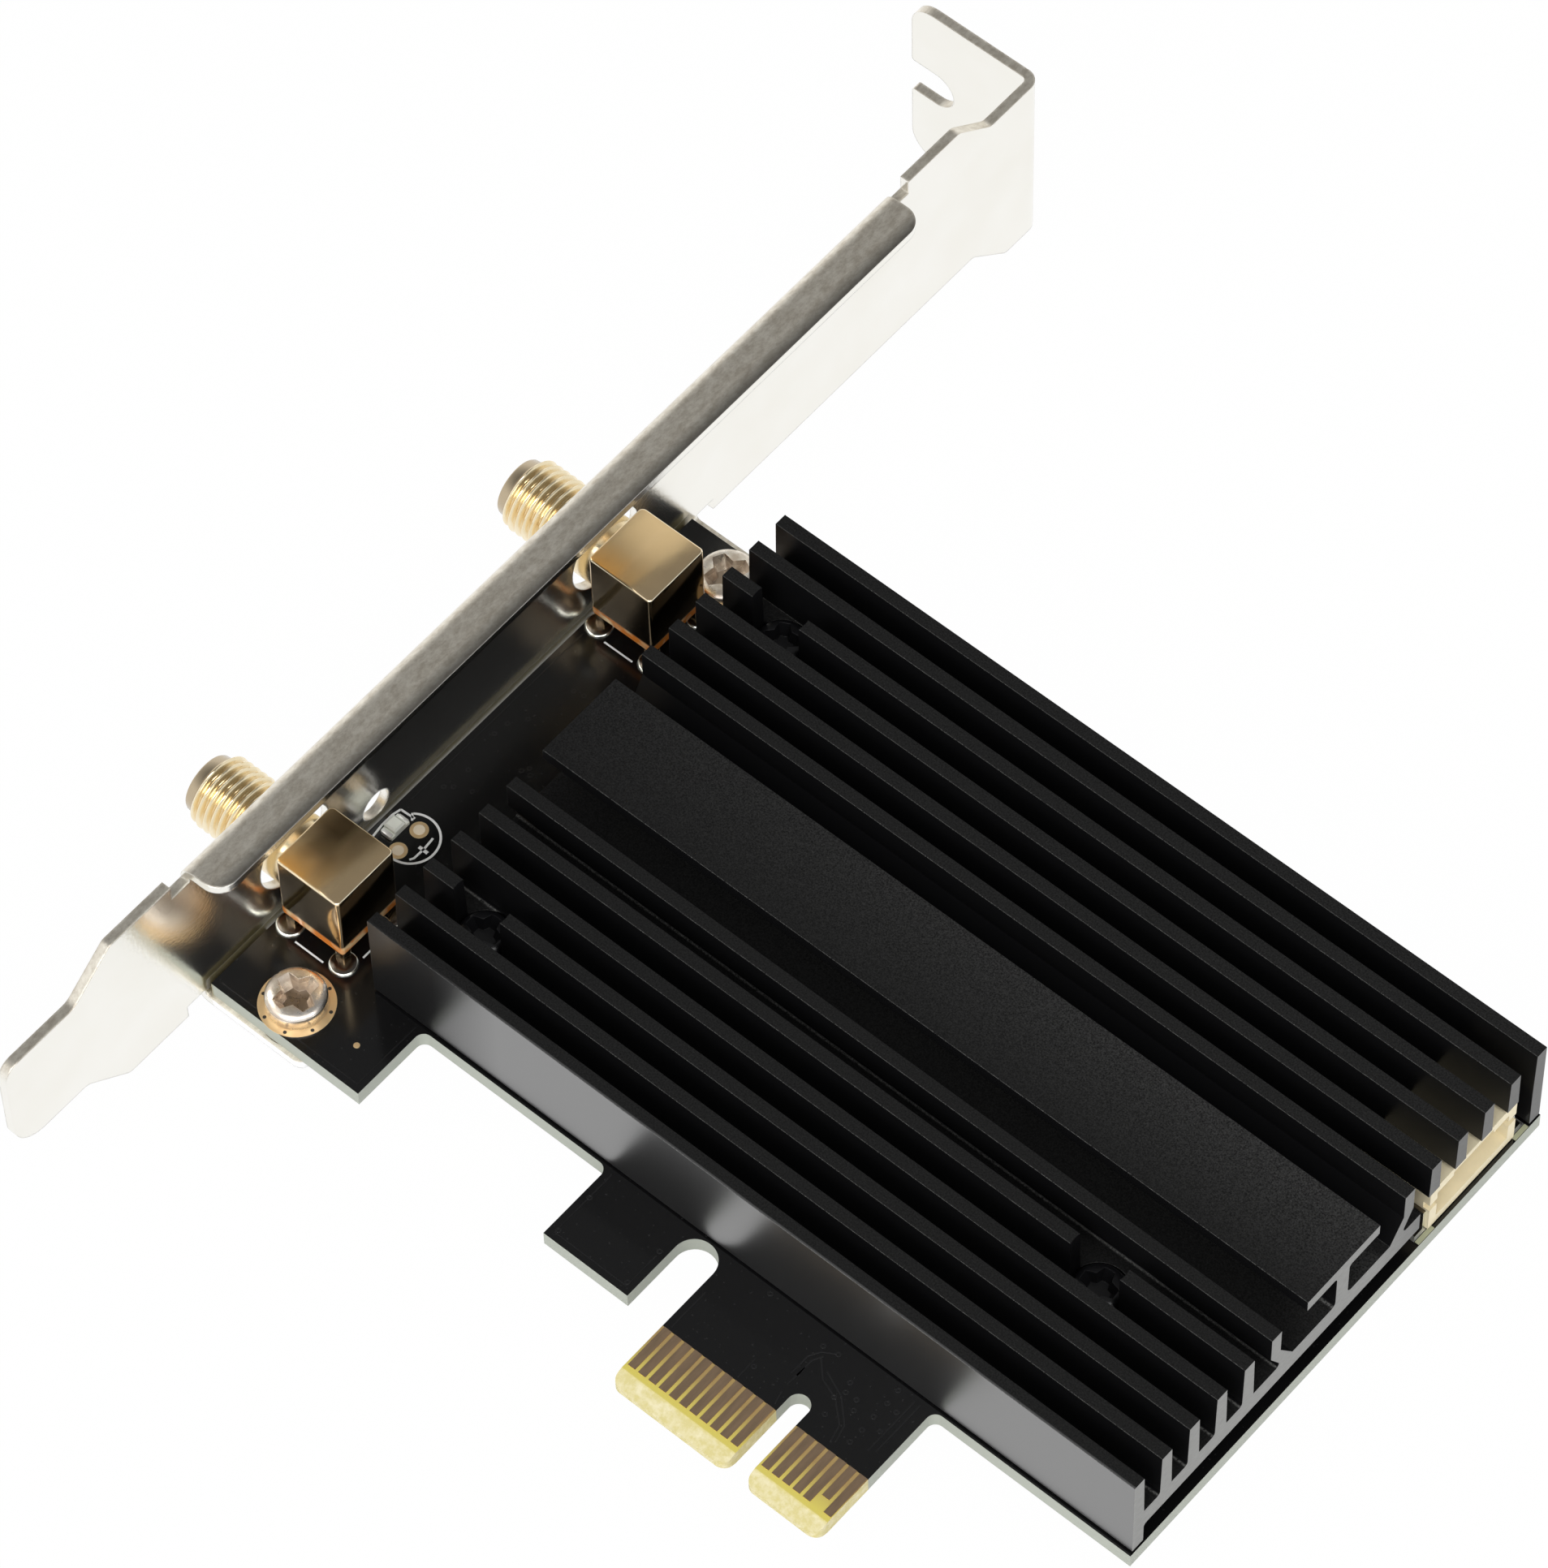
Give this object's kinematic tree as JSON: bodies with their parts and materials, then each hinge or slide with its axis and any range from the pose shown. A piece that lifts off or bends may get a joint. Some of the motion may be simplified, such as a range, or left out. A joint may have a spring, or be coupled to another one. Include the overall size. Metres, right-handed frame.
{
  "type": "wireless network card",
  "caption": "Wireless network card for a short expansion slot, with a folded steel bracket, right-angle antenna jacks and a finned black heat sink.",
  "frame": {"origin": "middle of the key notch, on the line of the board's lower edge and on its component face", "axes": "+X along the slot away from the bracket, +Y up the board towards the bracket's screw flange, +Z out of the component face"},
  "size_m": [0.0977, 0.12, 0.0221],
  "materials": {
    "board": "glossy black solder mask over glass laminate",
    "contact_gold": "thin gold plating",
    "bracket_steel": "bright nickel plate on fine-grained sheet",
    "screw_steel": "bright nickel plate",
    "jack_gold": "satin gold plate",
    "insulator_white": "matt white",
    "lamp_white": "milky lens",
    "header_beige": "satin moulded",
    "tin": "tinned",
    "sink_black": "fine blasted black anodising",
    "screw_black": "black oxide",
    "brass_nickel": "bright",
    "laminate_green": "solder mask",
    "can_tin": "tin plate",
    "chip_black": "moulding compound",
    "pad_grey": "soft matt",
    "capacitor_tan": "fired"
  },
  "bodies": {
    "root": {"circuit_board": "board", "contacts_front": "contact_gold", "contacts_back": "contact_gold", "bracket": "bracket_steel", "bracket_screws": "screw_steel", "jack_a_body": "jack_gold", "jack_a_insulator": "insulator_white", "jack_a_contact": "contact_gold", "jack_b_body": "jack_gold", "jack_b_insulator": "insulator_white", "jack_b_contact": "contact_gold", "status_lamp": "lamp_white", "header_housing": "header_beige", "header_pins": "tin", "header_tabs": "tin", "heat_sink": "sink_black", "heat_sink_screws": "screw_black", "heat_sink_spacers": "brass_nickel", "radio_module": "laminate_green", "radio_chip": "chip_black", "radio_shield": "can_tin", "thermal_pad": "pad_grey", "supply_capacitors": "capacitor_tan", "small_resistors": "chip_black"}
  },
  "joints": []
}
